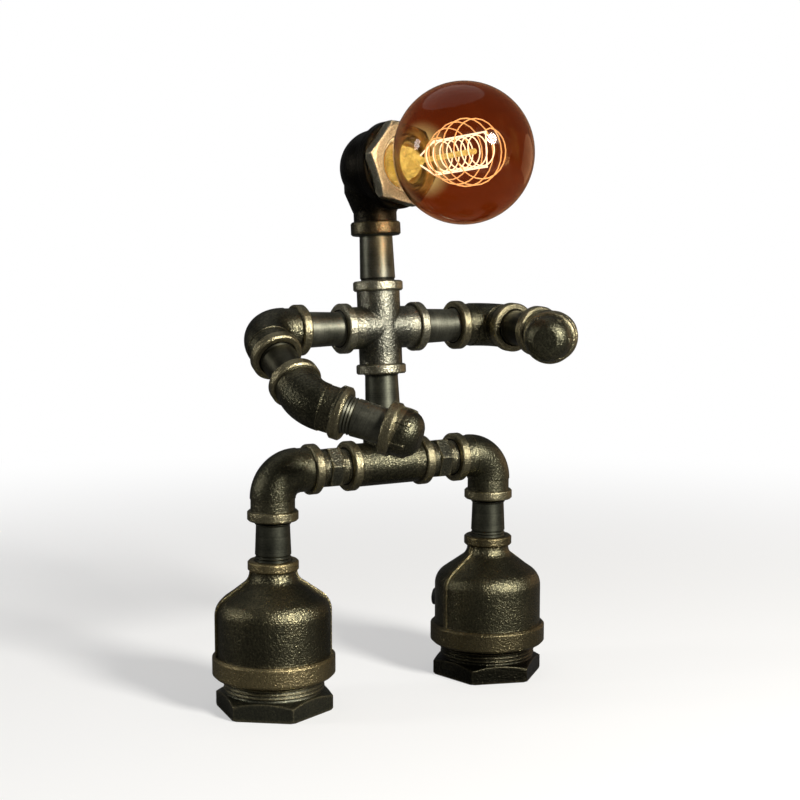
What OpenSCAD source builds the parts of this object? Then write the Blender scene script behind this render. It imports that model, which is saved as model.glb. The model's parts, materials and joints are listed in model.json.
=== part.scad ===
// Desk lamp shaped like a standing figure, screwed together from half inch
// malleable iron pipe fittings. A globe bulb on a short neck is its head.
// The origin is on the table under the middle of the lamp. +Z is up and the
// figure looks towards -Y. Left and right are the viewer's, seen from the front.

/* [Half inch pipe] */
// Outside diameter of the pipe
pipe_od = 21.3; // [20.8:0.1:21.8]
// Bore of the pipe
pipe_bore = 15.8; // [14.5:0.1:16.6]
// Distance between two thread ridges
ridge_gap = 1.81; // [1.5:0.01:2.2]
// Depth of the thread ridges that show
thread_deep = 0.7; // [0.4:0.1:1.1]
// Ridges that show at each end of a pipe
thread_turns = 2; // [1:1:3]

/* [Half inch fittings] */
// Outside diameter of a fitting's cast body
body_od = 26; // [25.2:0.1:26.6]
// Outside diameter of the bead round a mouth
bead_od = 30; // [28.5:0.1:32]
// Width of the bead
bead_w = 6; // [4.5:0.1:7.5]
// Centre to face of the elbows, the tee and the cross
face = 28; // [27.6:0.1:30]
// Centre to face of the 45 degree elbows
face45 = 22; // [21:0.1:24]
// Depth of a threaded socket
socket = 13; // [11:0.1:13.4]
// Bore of a fitting between its sockets
passage_d = 16.4; // [15:0.1:17.5]
// Corner of a bead, cut at 45 degrees
bead_edge = 0.9; // [0.3:0.1:1.5]
// How much fatter a fitting is round its bend
bulge = 0.4; // [0.2:0.1:0.7]

/* [Figure] */
// Height of the hip axis over the table
hip_h = 140; // [132:0.5:150]
// Leg axis to the middle of the figure
leg_x = 75.5; // [71:0.5:82]
// Hip axis to shoulder axis
torso_len = 82; // [76:0.5:92]
// Shoulder axis to the middle of the head
neck_len = 95.5; // [92:0.5:108]
// Shoulder elbow to the middle of the figure
shoulder_x = 80; // [75:0.5:90]
// Pipe that shows between an arm's two elbows
arm_gap = 21; // [16:0.5:28]
// Pipe that shows between the left forearm's elbow and its cap
forearm_gap_left = 23; // [16:0.5:25]
// Pipe that shows between the right forearm's elbow and its cap
forearm_gap_right = 1.5; // [1:0.1:8]

/* [Pose] */
// How far the trunk leans back on the hips, in degrees
lean = 4.5; // [0:0.5:8]
// How far the left upper arm points below the trunk's level, in degrees
drop_left = 34.5; // [20:0.5:45]
// How far the right upper arm points below the trunk's level, in degrees
drop_right = 6.5; // [-10:0.5:25]
// How far the left forearm is rolled up from the inward turn, in degrees
roll_left = 7.5; // [0:0.5:30]
// How far the right forearm is rolled up from the inward turn, in degrees
roll_right = 0; // [-20:0.5:30]
// How far the head is turned to the figure's left hand side, in degrees
head_turn = 10.5; // [-30:0.5:30]

/* [Feet] */
// Width of the hexagon under each foot, over its flats
sole_flats = 61; // [56:0.5:66]
// Height of the hexagon
sole_h = 11; // [9:0.5:15]
// Depth of the chamfer round the hexagon's upper corners
sole_chamfer = 2.6; // [1:0.1:4]
// Outside diameter of the two inch thread
foot_thread_od = 59.4; // [58:0.1:60.4]
// Thread that shows between the hexagon and the bell
foot_thread_show = 9.5; // [6:0.5:12]
// Distance between two ridges of the foot thread
foot_ridge_gap = 2.3; // [1.8:0.1:3]
// How far the bead round the bell's foot stands out
foot_bead_out = 2.7; // [1.5:0.1:4.5]
// Height of that bead
foot_bead_h = 12.5; // [9:0.5:16]
// Outside diameter of the bell
bell_od = 67; // [65:0.1:69]
// Height of the bell's straight wall
bell_h = 24; // [18:0.5:28]
// Radius of the bell's shoulder
shoulder_r = 12; // [9:0.5:15]
// Height of the neck over the shoulder, bead included
bell_neck_h = 19.5; // [18:0.5:26]
// Radius of the hollow flare between shoulder and neck
bell_flare = 8; // [5:0.5:10]
// Wall of the cast bell
bell_wall = 4.5; // [4:0.1:5.5]
// Width of the cast seam down each side of the bell
seam_w = 2.6; // [1.5:0.1:4]
// How far the seam stands out
seam_out = 1.2; // [0.6:0.1:1.8]
// Turn of the left foot's hexagon about its leg, in degrees
sole_turn_left = 22; // [0:1:60]
// Turn of the right foot's hexagon about its leg, in degrees
sole_turn_right = 41; // [0:1:60]
// Turn of the left bell's seams about its leg, in degrees
seam_turn_left = -16; // [-45:1:45]
// Turn of the right bell's seams about its leg, in degrees
seam_turn_right = 6; // [-45:1:45]

/* [Cord inlet] */
// Bore of the grommet that the mains cord enters by
inlet_bore = 6.4; // [5:0.1:8]
// Outside diameter of the grommet's rim
inlet_rim_od = 11; // [10.4:0.1:13]
// Direction of the inlet round the right leg, in degrees
inlet_turn = 125; // [100:1:140]
// Diameter of the flexible lead inside the pipes
flex_d = 5; // [4:0.1:6]

/* [Hip nipples] */
// Width of a hip nipple's hexagon over its flats
hip_flats = 22.6; // [22:0.1:26]
// Length of the hexagon
hip_hex_w = 8; // [6:0.5:10]

/* [Hand caps] */
// Length of a cap
cap_len = 20.5; // [19:0.5:25]
// Outside diameter of a cap behind its bead
cap_od = 26.4; // [25.6:0.1:28.4]
// Grip ribs round a cap
cap_ribs = 6; // [4:1:8]

/* [Head] */
// Outside diameter of the head elbow's large end
head_body_od = 45; // [44:0.1:47]
// Outside diameter of the bead round that end
head_bead_od = 52; // [50:0.1:55]
// Width of that bead
head_bead_w = 7; // [5:0.5:9]
// Centre of the head to the large mouth's face
head_face = 22.5; // [21.5:0.1:25]
// Centre of the head to the neck mouth's face
head_drop = 40; // [39:0.5:46]
// Width of the neck bead
neck_bead_w = 8; // [6:0.5:9]
// Width of the bushing's hexagon over its flats
bush_flats = 45.5; // [44:0.5:50]
// Thickness of that hexagon
bush_hex_w = 7.5; // [5:0.5:10]
// Turn of that hexagon about the head's axis, in degrees
bush_turn = -11; // [-30:1:30]
// Bore of the bushing
bush_bore = 34; // [33.6:0.1:35]
// Outside diameter of the bushing's thread
bush_thread_od = 38.8; // [38:0.1:39.4]

/* [Bulb] */
// Diameter of the globe
globe_d = 80; // [74:1:86]
// Centre of the head to the centre of the globe
globe_reach = 79; // [77:0.5:84]
// Thickness of the glass
glass_t = 0.9; // [0.7:0.1:1.4]
// Outside diameter of the glass neck
glass_neck_od = 29; // [28:0.1:30.4]
// Rounding between neck and globe
glass_fillet = 10; // [7:0.5:13]
// Outside diameter of the screw cap
screw_od = 26; // [25.6:0.1:26.3]
// Length of the screw cap
screw_len = 22; // [20:0.5:23]
// Distance between two ridges of the screw cap
screw_ridge_gap = 3.63; // [3:0.01:4.2]
// Diameter of the inner winding of the filament
coil_d = 17.5; // [14:0.5:21]
// Turns of the inner winding
coil_turns = 7; // [4:1:9]
// Length of the inner winding
coil_len = 40; // [34:1:44]
// Diameter of the outer winding at its widest
loop_d = 38; // [32:1:42]
// Turns of the outer winding
loop_turns = 5; // [3:1:6]
// Thickness of the filament
filament_d = 0.7; // [0.5:0.1:1]

/* [Hidden] */

// Fits and working clearances
fit = 0.05;          // radial play of a pipe in its socket
seat = 0.25;         // play between two stacked faces
over = 1;            // overrun of every cut
lap = 1;             // how far joined solids run into each other
half_turn = 180;     // degrees
$fn = 96;

// Half inch pipe and fittings
pipe_r = pipe_od / 2;
bore_r = pipe_bore / 2;
body_r = body_od / 2;
bead_r = bead_od / 2;
socket_r = pipe_r + fit;
passage_r = passage_d / 2;
branch_ease = 0.3;   // a branch is this much slimmer than the run it leaves
mouth_edge = 0.7;   // countersink of a mouth
left = -1;
right = 1;

// Feet
sole_r = sole_flats / 2 / cos(30);
sole_edge = 0.9;                      // chamfer under the hexagon
foot_thread_r = foot_thread_od / 2;
foot_thread_deep = 1.1;
foot_thread_in = 11;                  // thread inside the bell
bell_z = sole_h + foot_thread_show;   // the bell's lower face
wall_z = bell_z + foot_bead_h;        // foot of the bell's straight wall
round_z = wall_z + bell_h;            // where its shoulder starts
neck_z = round_z + shoulder_r;        // where its neck starts
thread_end_z = bell_z + foot_thread_in + seat;
bell_top = neck_z + bell_neck_h;
bell_r = bell_od / 2;
bell_in_r = bell_r - bell_wall;
foot_bead_r = bell_r + foot_bead_out;
foot_bead_edge = 1.4;                 // bevel of the bell's bead
bell_turn = 55;                       // degrees of its shoulder's arc
slope_r = bell_r - shoulder_r * (1 - cos(bell_turn));   // the slope between shoulder and flare
slope_end_r = body_r + bell_flare * (1 - cos(bell_turn));
flare_z = round_z + (shoulder_r + bell_flare) * sin(bell_turn) + (slope_r - slope_end_r) / tan(bell_turn);
inlet_z = wall_z + bell_h / 2;
inlet_wall = 1.4;                     // the grommet's rubber round its bore
inlet_rim_w = 3;
inlet_hole_r = inlet_bore / 2 + inlet_wall;
inlet_lip = 0.5;                      // how far its inner lip laps the wall
inlet_lip_w = 1.6;

// Pipes between the fittings
leg_gap = hip_h - face - bell_top;
hip_gap = leg_x - 2 * face;
trunk_gap = torso_len - 2 * face;
neck_gap = neck_len - face - head_drop;
shoulder_gap = shoulder_x - 2 * face;
elbow_reach = face + arm_gap + face45;
end_turns = 1;                        // ridges at the ends of the shorter pipes
wrist_turns = 3;                      // ridges at a forearm's elbow
hip_hex_turn = 20;
cap_round = 9.5;                      // rounding of a cap's end
cap_turn = 72;
rib_out = 0.6;                        // how far a cap's ribs stand out
rib_run = 4;                          // how far they reach past its straight wall

// Head elbow and bushing
head_r = head_body_od / 2;
head_bead_r = head_bead_od / 2;
head_wall = 3.6;
head_back = 18.5;                     // centre of the head to its round back
ball_z = head_r + bulge - head_back;  // middle of the ball behind the mouth
neck_cone_r = 18;                     // the neck where it leaves the head
neck_from = 3;                        // where the neck's solid starts inside the head
neck_cone_from = 14;
neck_cone_to = 26;
bush_thread_r = bush_thread_od / 2;
bush_bore_r = bush_bore / 2;
bush_in = 15;                         // length of the bushing's thread
bush_foot = head_face - bush_in;
bush_face = head_face + bush_hex_w;   // the hexagon's front
bush_hex_r = bush_flats / 2 / cos(30);
bush_edge = 1.6;                      // chamfer of the hexagon's corners
bush_mouth_edge = 0.8;                     // countersink of its bore

// Lamp holder
rim_in = 3.5;                         // the glass starts this far behind the hexagon's front
screw_rim = bush_face - rim_in;
screw_foot = screw_rim - screw_len;
screw_r = screw_od / 2;
screw_deep = 0.45;                    // depth of the screw cap's rounded thread
screw_play = 0.35;                    // play of the bulb in the holder
shell_t = 0.5;                        // sheet of the holder's shell and the bulb's cap
shell_r = screw_r + screw_play;
shell_out_r = shell_r + screw_deep + shell_t;
holder_play = 0.15;
holder_r = bush_bore_r - holder_play;
holder_floor = 1.6;
holder_back = screw_foot - 3.4;
floor_z = holder_back + holder_floor;
cap_r = 11;
cap_wall = 1.5;
cap_depth = 9;                        // the cap behind the socket's body
cap_back = holder_back - cap_depth;
clamp_x = 6;                          // the holder's two screws from its axis
clamp_r = 1.2;
clamp_head_r = 2.2;
clamp_head_h = 1.4;
clamp_slot = 0.6;
strip_w = 5;
strip_len = 17;
strip_t = 0.5;
strip_gap = 0.2;                      // play between the strip and the bulb's contact

// Internal lead
flex_r = flex_d / 2;
flex_bulge = 0.1;                     // how much fatter the lead is round a bend
flex_split = 0.3;                     // play where a lead ends at a turning joint
slant_split = 1.3;                    // the same under the head's slanting lead
flex_bend = face - socket;            // the lead follows the middle of the fittings
inlet_bend = 10;
inlet_r = bell_in_r - inlet_lip_w - seat;  // inner end of the grommet from the leg's axis
head_lead_low = -head_drop + socket - seat + slant_split;
head_lead_y = -cap_r + cap_wall;
head_lead_z = (holder_back + cap_back) / 2;

// Bulb
globe_r = globe_d / 2;
glass_neck_r = glass_neck_od / 2;
fillet_ring = glass_neck_r + glass_fillet;  // distance of the fillet's centre from the axis
fillet_back = sqrt(pow(globe_r + glass_fillet, 2) - pow(fillet_ring, 2));
join_share = globe_r / (globe_r + glass_fillet);
join_back = fillet_back * join_share;       // globe centre to where the fillet ends
join_z = globe_reach - join_back;
join_out = sqrt(pow(globe_r, 2) - pow(join_back, 2));
join_in = sqrt(pow(globe_r - glass_t, 2) - pow(join_back, 2));
join_turn = half_turn - atan2(fillet_back, fillet_ring);
join_turn_in = half_turn - asin((fillet_back - join_back) / (glass_fillet + glass_t));
collar_w = 3.2;                             // plain collar of the screw cap
collar_z = screw_rim - collar_w;
screw_nose = 5;                             // insulator and contact under its thread
thread_foot = screw_foot + screw_nose;
stub_r = screw_r - shell_t - seat / 2;      // the glass inside the collar
stub_z = screw_rim - collar_w + seat;
neck_step = 1.2;
lip_r = 10.5;                               // opening under the screw cap
tip_r = 5.2;                                // the insulator's small end
contact_r = 4.6;
contact_t = 1;
contact_edge = 0.5;
flare_r = 9.3;                              // tube of the stem
flare_t = 0.9;
flare_step = 2;
flare_top = 32;
press_top = 42;
press_r = 3.2;
stem_r = 1.6;
coil_r = coil_d / 2;
coil_back = 3;                              // the winding's middle sits behind the globe's
coil_start = globe_reach - coil_back - coil_len / 2;
coil_end = coil_start + coil_len;
rod_short = 8;                              // the stem's rod ends this far before the winding
wire_r = filament_d / 2;
wire_sides = 6;
coil_steps = 24;                            // rings a turn
rail_r = 0.45;
rail_knot = 0.1;                            // how much thicker a wire is where it is bent
rail_off = coil_r + wire_r + rail_r + 2 * fit;
rail_over = 1.2;
lead_off = 2.4;
loop_in = rail_off + rail_r + wire_r + 2 * fit;
loop_inset = 5;                             // the outer winding starts this far up the inner
loop_start = coil_start + loop_inset;
loop_len = coil_end + rail_over - loop_start;
loop_tilt = 2.5;
loop_out_share = 1.4;                       // over 1: the widest loop sits further out
loop_wide_share = 0.5;                      // under 1: the loops widen sooner

// Middle of the lamp's box, front to back
function leaned(p) =
    [p[0], cos(lean) * p[1] + sin(lean) * p[2], cos(lean) * p[2] - sin(lean) * p[1]];
head_dir = [sin(head_turn), -cos(head_turn), 0];
globe_pos = leaned([0, 0, torso_len + neck_len] + globe_reach * head_dir);
hand_ahead = 3.1;                           // the right hand reaches past the globe's front
front_y = globe_pos[1] - globe_r - hand_ahead;
middle_y = (front_y + foot_bead_r) / 2;

// Points of an arc about [x, y], from angle a0 to a1
function arc(x, y, r, a0, a1, steps = 8) =
    [for (i = [0:steps]) let (a = a0 + (a1 - a0) * i / steps) [x + r * cos(a), y + r * sin(a)]];

// Ridges of a thread from height z0, each a root and then a crest
function ridges(r, z0, turns, pitch, deep) =
    [for (i = [0:1:turns - 1]) each [[r - deep, z0 + (i + 0.5) * pitch], [r, z0 + (i + 1) * pitch]]];

// A rolled thread as a zigzag from height z0, roots at r
function waves(r, z0, length, pitch, deep) =
    let (steps = 2 * floor(length / pitch))
    [for (i = [0:steps]) [r + (i % 2) * deep, z0 + i * length / steps]];
function backwards(list) = [for (i = [len(list) - 1:-1:0]) list[i]];

// The two windings of the filament, and how near one comes to itself
coil_path = [for (i = [0:coil_steps * coil_turns])
    let (a = 90 + 360 * i / coil_steps, share = i / (coil_steps * coil_turns))
    [coil_r * cos(a), coil_r * sin(a), coil_start + coil_len * share]];
loop_path = [for (i = [0:coil_steps * loop_turns])
    let (a = 90 + 360 * i / coil_steps, share = i / (coil_steps * loop_turns),
         r = loop_in + (loop_d / 2 - loop_in) * pow(sin(half_turn * pow(share, loop_out_share)), loop_wide_share))
    [r * cos(a), r * sin(a), loop_start + loop_len * share + loop_tilt * cos(a)]];
function least_gap(path) = min([for (i = [0:len(path) - 1]) for (j = [i + coil_steps / 2:1:len(path) - 1])
    norm(path[i] - path[j])]) - 2 * wire_r;
echo(str("inner winding, least gap to itself, mm: ", least_gap(coil_path)));
echo(str("outer winding, least gap to itself, mm: ", least_gap(loop_path)));

// Where things stand
module at_middle() { translate([0, -middle_y, 0]) children(); }
module at_leg(side) { at_middle() translate([side * leg_x, 0, 0]) children(); }
module at_hip() { at_middle() translate([0, 0, hip_h]) children(); }
module at_trunk() { at_hip() rotate([-lean, 0, 0]) children(); }
module at_chest() { at_trunk() translate([0, 0, torso_len]) children(); }
module at_shoulder(side) {
    drop = side == left ? drop_left : drop_right;
    at_chest() translate([side * shoulder_x, 0, 0]) rotate([drop, 0, 0]) children();
}
// The upper arm ends here, and the forearm turns about it
module at_forearm(side) {
    roll = side == left ? roll_left : roll_right;
    at_shoulder(side) translate([0, -elbow_reach, 0]) rotate([0, side * roll, 0]) children();
}
// +Z runs out of the forearm elbow's second mouth
module at_hand(side) {
    at_forearm(side) rotate([0, 0, side * -45]) rotate([90, 0, 0]) translate([0, 0, face45]) children();
}
// +Z runs out of the head's large mouth and -Y down its neck
module at_head() {
    at_chest() translate([0, 0, neck_len]) rotate([0, 0, head_turn]) rotate([90, 0, 0]) children();
}
// +Z runs out of the grommet, from the leg's axis
module at_inlet() {
    at_leg(right) rotate([0, 0, inlet_turn]) translate([0, 0, inlet_z]) rotate([0, 90, 0]) children();
}

// Shapes that many fittings share
module round_piece(points) { rotate_extrude() polygon(points); }

// One arm of a fitting along +Z, from height z0 to its mouth
module fitting_arm(z0, reach, r = body_r, rim = bead_w) {
    round_piece([[0, z0], [r, z0], [r, reach - rim], [bead_r - bead_edge, reach - rim],
                 [bead_r, reach - rim + bead_edge], [bead_r, reach - bead_edge],
                 [bead_r - bead_edge, reach], [0, reach]]);
}

// The socket in that arm, with its countersink
module fitting_socket(reach) {
    round_piece([[0, reach - socket], [socket_r, reach - socket], [socket_r, reach - mouth_edge],
                 [socket_r + mouth_edge, reach], [socket_r + mouth_edge, reach + over],
                 [0, reach + over]]);
}

// An elbow in the XY plane: one mouth looks along +X, the other is turned from it
module bend_fitting(turn, reach) {
    run = reach - socket;
    bend = run / tan(turn / 2);
    difference() {
        union() {
            translate([run, bend, 0]) rotate([0, 0, -90 - turn]) rotate_extrude(angle = turn)
                translate([bend, 0]) circle(r = body_r + bulge);
            for (a = [0, half_turn - turn]) rotate([0, 0, a]) rotate([0, 90, 0]) fitting_arm(run - lap, reach);
        }
        translate([run, bend, 0]) rotate([0, 0, -90 - turn]) rotate_extrude(angle = turn)
            translate([bend, 0]) circle(r = passage_r);
        for (a = [0, half_turn - turn]) rotate([0, 0, a]) rotate([0, 90, 0])
            translate([0, 0, -seat]) fitting_socket(reach + seat);
    }
}

// A length of pipe along Z about its middle, threaded at both ends
module threaded_pipe(gap, turns_low = thread_turns, turns_high = thread_turns) {
    half = gap / 2 + socket - seat;
    most = floor(gap / 2 / ridge_gap);
    low = min(turns_low, most);
    high = min(turns_high, most);
    round_piece(concat([[bore_r, -half], [pipe_r, -half], [pipe_r, -gap / 2]],
                       ridges(pipe_r, -gap / 2, low, ridge_gap, thread_deep),
                       ridges(pipe_r, gap / 2 - high * ridge_gap, high, ridge_gap, thread_deep),
                       [[pipe_r, half], [bore_r, half]]));
}

// A wire swept along points that wind about Z
module wound(path) {
    last = len(path) - 1;
    corners = [for (i = [0:last])
        let (t = path[min(i + 1, last)] - path[max(i - 1, 0)], along = t / norm(t),
             out = [path[i][0], path[i][1], 0], away = out - (out * along) * along,
             u = away / norm(away), v = cross(along, u))
        for (k = [0:wire_sides - 1])
            let (a = 360 * k / wire_sides) path[i] + wire_r * (cos(a) * u + sin(a) * v)];
    sides = [for (i = [0:last - 1]) for (k = [0:wire_sides - 1])
        let (a = i * wire_sides + k, b = i * wire_sides + (k + 1) % wire_sides)
        each [[a, a + wire_sides, b + wire_sides], [a, b + wire_sides, b]]];
    ends = [[for (k = [0:wire_sides - 1]) k],
            [for (k = [wire_sides - 1:-1:0]) last * wire_sides + k]];
    polyhedron(corners, concat(sides, ends));
}

// Feet
module foot_plug(side) {
    turn = side == left ? sole_turn_left : sole_turn_right;
    turns = floor((foot_thread_show + foot_thread_in - lap) / foot_ridge_gap);
    top = bell_z + foot_thread_in;
    at_leg(side) difference() {
        union() {
            intersection() {
                rotate([0, 0, turn]) cylinder(h = sole_h, r = sole_r, $fn = 6);
                round_piece([[0, 0], [sole_r - sole_edge, 0], [sole_r + lap, sole_edge + lap],
                             [sole_r + lap, sole_h - sole_chamfer - lap / 2],
                             [sole_flats / 2 - sole_edge, sole_h], [0, sole_h]]);
            }
            round_piece(concat([[0, sole_h - lap], [foot_thread_r, sole_h - lap]],
                               ridges(foot_thread_r, sole_h, turns, foot_ridge_gap, foot_thread_deep),
                               [[foot_thread_r, top], [0, top]]));
        }
        translate([0, 0, sole_h]) cylinder(h = top, r = foot_thread_r - foot_thread_deep - bell_wall);
    }
}

function bell_outline(grow) = concat(
    [[0, wall_z - lap], [bell_r + grow, wall_z - lap]],
    arc(bell_r - shoulder_r, round_z, shoulder_r + grow, 0, bell_turn),
    arc(body_r + bell_flare, flare_z, bell_flare - grow, bell_turn - half_turn, -half_turn),
    [[body_r + grow, bell_top - bead_w], [0, bell_top - bead_w]]);

module foot_bell(side) {
    turn = side == left ? seam_turn_left : seam_turn_right;
    at_leg(side) difference() {
        union() {
            round_piece(bell_outline(0));
            round_piece([[0, bell_z], [foot_bead_r - foot_bead_edge, bell_z],
                         [foot_bead_r, bell_z + foot_bead_edge], [foot_bead_r, wall_z - foot_bead_edge],
                         [foot_bead_r - foot_bead_edge, wall_z], [0, wall_z]]);
            translate([0, 0, bell_top - face]) fitting_arm(face - bead_w - lap, face);
            intersection() {
                round_piece(bell_outline(seam_out));
                rotate([0, 0, turn]) translate([-bell_od, -seam_w / 2, wall_z - lap / 2])
                    cube([2 * bell_od, seam_w, bell_top - wall_z - bead_w]);
            }
        }
        translate([0, 0, bell_z - over])
            cylinder(h = foot_thread_in + seat + over, r = foot_thread_r + fit);
        round_piece(concat([[0, thread_end_z], [bell_in_r, thread_end_z]],
                           arc(bell_r - shoulder_r, round_z, shoulder_r - bell_wall, 0, bell_turn, 5),
                           [[passage_r, neck_z], [0, neck_z]]));
        cylinder(h = bell_top, r = passage_r);
        translate([0, 0, bell_top - face]) fitting_socket(face);
        if (side == right) rotate([0, 0, inlet_turn]) translate([0, 0, inlet_z]) rotate([0, 90, 0])
            cylinder(h = bell_od, r = inlet_hole_r);
    }
}

module leg_pipe(side) { at_leg(side) translate([0, 0, bell_top + leg_gap / 2]) threaded_pipe(leg_gap); }

module hip_elbow(side) {
    at_leg(side) translate([0, 0, hip_h]) mirror([side == left ? 0 : 1, 0, 0])
        rotate([-90, 0, 0]) bend_fitting(90, face);
}

module hip_nipple(side) {
    half = hip_gap / 2 + socket - seat;
    turns = floor((hip_gap - hip_hex_w) / 2 / ridge_gap);
    at_hip() translate([side * leg_x / 2, 0, 0]) rotate([0, 90, 0]) difference() {
        union() {
            round_piece(concat([[0, -half], [pipe_r, -half], [pipe_r, -hip_gap / 2]],
                               ridges(pipe_r, -hip_gap / 2, turns, ridge_gap, thread_deep),
                               ridges(pipe_r, hip_gap / 2 - turns * ridge_gap, turns, ridge_gap, thread_deep),
                               [[pipe_r, half], [0, half]]));
            rotate([0, 0, hip_hex_turn])
                cylinder(h = hip_hex_w, d = hip_flats / cos(30), center = true, $fn = 6);
        }
        cylinder(h = 2 * half + over, r = bore_r, center = true);
    }
}

// Trunk
// A run along Z through the middle, with an arm and a socket towards each given direction
module crossing(turns) {
    difference() {
        union() {
            fitting_arm(-lap, face);
            mirror([0, 0, 1]) fitting_arm(-lap, face);
            for (a = turns) rotate([0, a, 0]) fitting_arm(0, face, body_r - branch_ease);
        }
        cylinder(h = 2 * face, r = passage_r, center = true);
        fitting_socket(face);
        mirror([0, 0, 1]) fitting_socket(face);
        for (a = turns) rotate([0, a, 0]) {
            cylinder(h = face, r = passage_r - branch_ease);
            fitting_socket(face);
        }
    }
}

module pelvis_tee() { at_trunk() rotate([0, 90, 0]) crossing([-90]); }
module torso_pipe() {
    at_trunk() translate([0, 0, torso_len / 2]) threaded_pipe(trunk_gap, end_turns, end_turns);
}
module chest_cross() { at_chest() crossing([-90, 90]); }
module neck_pipe() {
    at_chest() translate([0, 0, face + neck_gap / 2]) threaded_pipe(neck_gap, end_turns, end_turns);
}
module shoulder_pipe(side) {
    at_chest() translate([side * (face + shoulder_gap / 2), 0, 0]) rotate([0, 90, 0])
        threaded_pipe(shoulder_gap, end_turns, end_turns);
}

// Arms
module shoulder_elbow(side) {
    at_shoulder(side) mirror([side == left ? 0 : 1, 0, 0]) rotate([0, 0, -90]) bend_fitting(90, face);
}
module upper_arm_pipe(side) {
    at_shoulder(side) translate([0, -face - arm_gap / 2, 0]) rotate([90, 0, 0])
        threaded_pipe(arm_gap, end_turns, end_turns);
}
module forearm_elbow(side) {
    at_forearm(side) mirror([side == left ? 0 : 1, 0, 0]) rotate([0, 0, 90]) mirror([0, 1, 0])
        bend_fitting(45, face45);
}
module forearm_pipe(side) {
    gap = side == left ? forearm_gap_left : forearm_gap_right;
    at_hand(side) translate([0, 0, gap / 2]) threaded_pipe(gap, wrist_turns, end_turns);
}

function cap_outline(grow) = concat(
    [[0, bead_w - lap], [cap_od / 2 + grow, bead_w - lap]],
    arc(cap_od / 2 - cap_round, cap_len - cap_round, cap_round + grow, 0, cap_turn, 6),
    [[0, cap_len + grow / 2]]);

module hand_cap(side) {
    gap = side == left ? forearm_gap_left : forearm_gap_right;
    at_hand(side) translate([0, 0, gap]) difference() {
        union() {
            mirror([0, 0, 1]) translate([0, 0, -face]) fitting_arm(face - bead_w, face);
            round_piece(cap_outline(0));
            intersection() {
                round_piece(cap_outline(rib_out));
                for (i = [0:cap_ribs - 1]) rotate([0, 0, 360 * i / cap_ribs])
                    translate([body_r / 2, -seam_w / 2, bead_w - lap / 2])
                        cube([body_r, seam_w, cap_len - cap_round - bead_w + rib_run]);
            }
        }
        mirror([0, 0, 1]) translate([0, 0, -face]) fitting_socket(face);
    }
}

// Head
module head_elbow() {
    at_head() difference() {
        union() {
            translate([0, 0, ball_z]) sphere(r = head_r + bulge);
            round_piece([[0, ball_z], [head_r, ball_z], [head_r, head_face - head_bead_w],
                         [head_bead_r - bead_edge, head_face - head_bead_w],
                         [head_bead_r, head_face - head_bead_w + bead_edge],
                         [head_bead_r, head_face - bead_edge],
                         [head_bead_r - bead_edge, head_face], [0, head_face]]);
            rotate([90, 0, 0]) fitting_arm(neck_cone_to - lap, head_drop, body_r, neck_bead_w);
            rotate([90, 0, 0]) round_piece([[0, neck_from], [neck_cone_r, neck_from],
                                            [neck_cone_r, neck_cone_from],
                                            [body_r + branch_ease, neck_cone_to], [0, neck_cone_to]]);
        }
        translate([0, 0, ball_z]) sphere(r = head_r + bulge - head_wall);
        translate([0, 0, bush_foot - seat]) cylinder(h = head_drop, r = bush_thread_r + fit);
        rotate([90, 0, 0]) translate([0, 0, neck_from]) cylinder(h = head_drop, r = passage_r);
        rotate([90, 0, 0]) fitting_socket(head_drop);
    }
}

module head_bushing() {
    at_head() difference() {
        union() {
            intersection() {
                translate([0, 0, head_face + fit]) rotate([0, 0, bush_turn])
                    cylinder(h = bush_hex_w - fit, r = bush_hex_r, $fn = 6);
                round_piece([[0, head_face], [bush_hex_r - bush_edge, head_face],
                             [bush_hex_r + lap, head_face + bush_edge + lap],
                             [bush_hex_r + lap, bush_face - bush_edge - lap / 2],
                             [bush_hex_r - 2 * bush_edge, bush_face], [0, bush_face]]);
            }
            translate([0, 0, bush_foot]) cylinder(h = bush_in + lap, r = bush_thread_r);
        }
        round_piece([[0, bush_foot - over], [bush_bore_r, bush_foot - over],
                     [bush_bore_r, bush_face - bush_mouth_edge], [bush_bore_r + bush_mouth_edge, bush_face],
                     [bush_bore_r + bush_mouth_edge, bush_face + over], [0, bush_face + over]]);
    }
}

// Lamp holder
module clamp_holes() {
    for (side = [left, right]) translate([side * clamp_x, 0, cap_back - over])
        cylinder(h = floor_z - cap_back + 2 * over, r = clamp_r + fit);
}
// The lead rises from the neck to the side of the holder's cap, leaning back
module at_head_lead() {
    translate([0, head_lead_low, 0]) rotate([-atan2(head_lead_y - head_lead_low, head_lead_z), 0, 0])
        children();
}
module holder_body() {
    at_head() difference() {
        translate([0, 0, holder_back]) cylinder(h = screw_rim - holder_back, r = holder_r);
        translate([0, 0, floor_z]) cylinder(h = screw_rim, r = shell_out_r + 2 * fit);
        clamp_holes();
    }
}
module holder_cap() {
    at_head() difference() {
        translate([0, 0, cap_back]) cylinder(h = holder_back - fit - cap_back, r = cap_r);
        translate([0, 0, cap_back + cap_wall]) cylinder(h = screw_rim, r = cap_r - cap_wall);
        clamp_holes();
        at_head_lead() cylinder(h = head_lead_y - head_lead_low + cap_wall, r = flex_r + seat);
    }
}
module holder_screw_shell() {
    low = floor_z + fit;
    tall = screw_rim - fit - low;
    inside = waves(shell_r, low, tall, screw_ridge_gap, screw_deep);
    outside = waves(shell_r + shell_t, low, tall, screw_ridge_gap, screw_deep);
    at_head() round_piece(concat(inside, backwards(outside)));
}
module holder_contact() {
    at_head() {
        translate([-strip_len / 2, -strip_w / 2, floor_z + fit]) cube([strip_len, strip_w, strip_t]);
        translate([0, 0, floor_z + strip_t - fit])
            cylinder(h = screw_foot - strip_gap - floor_z - strip_t + fit, r = strip_w / 2 - strip_t);
    }
}
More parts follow.
